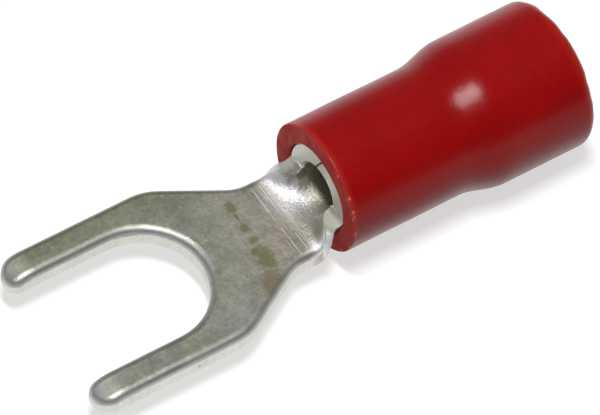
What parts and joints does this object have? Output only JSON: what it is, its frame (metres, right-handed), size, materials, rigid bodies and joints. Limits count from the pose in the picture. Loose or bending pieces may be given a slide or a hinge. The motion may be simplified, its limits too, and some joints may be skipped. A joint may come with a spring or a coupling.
{
  "type": "fork terminal",
  "caption": "Insulated fork terminal: flat two-tined tinned metal fork with a curled neck and rolled barrel inside a stepped round red plastic sleeve.",
  "frame": {"origin": "centre of the stud slot's round end, on the underside of the flat fork", "axes": "+X from the fork's tips to the wire entry, +Y across the fork, +Z out of the fork's upper face; the barrel and the sleeve run along +X"},
  "size_m": [0.0194, 0.0064, 0.0051],
  "materials": {
    "tinned_metal": "dull tin plate",
    "red_vinyl": "semi-gloss"
  },
  "bodies": {
    "root": {"fork_terminal": "tinned_metal", "insulating_sleeve": "red_vinyl"}
  },
  "joints": []
}
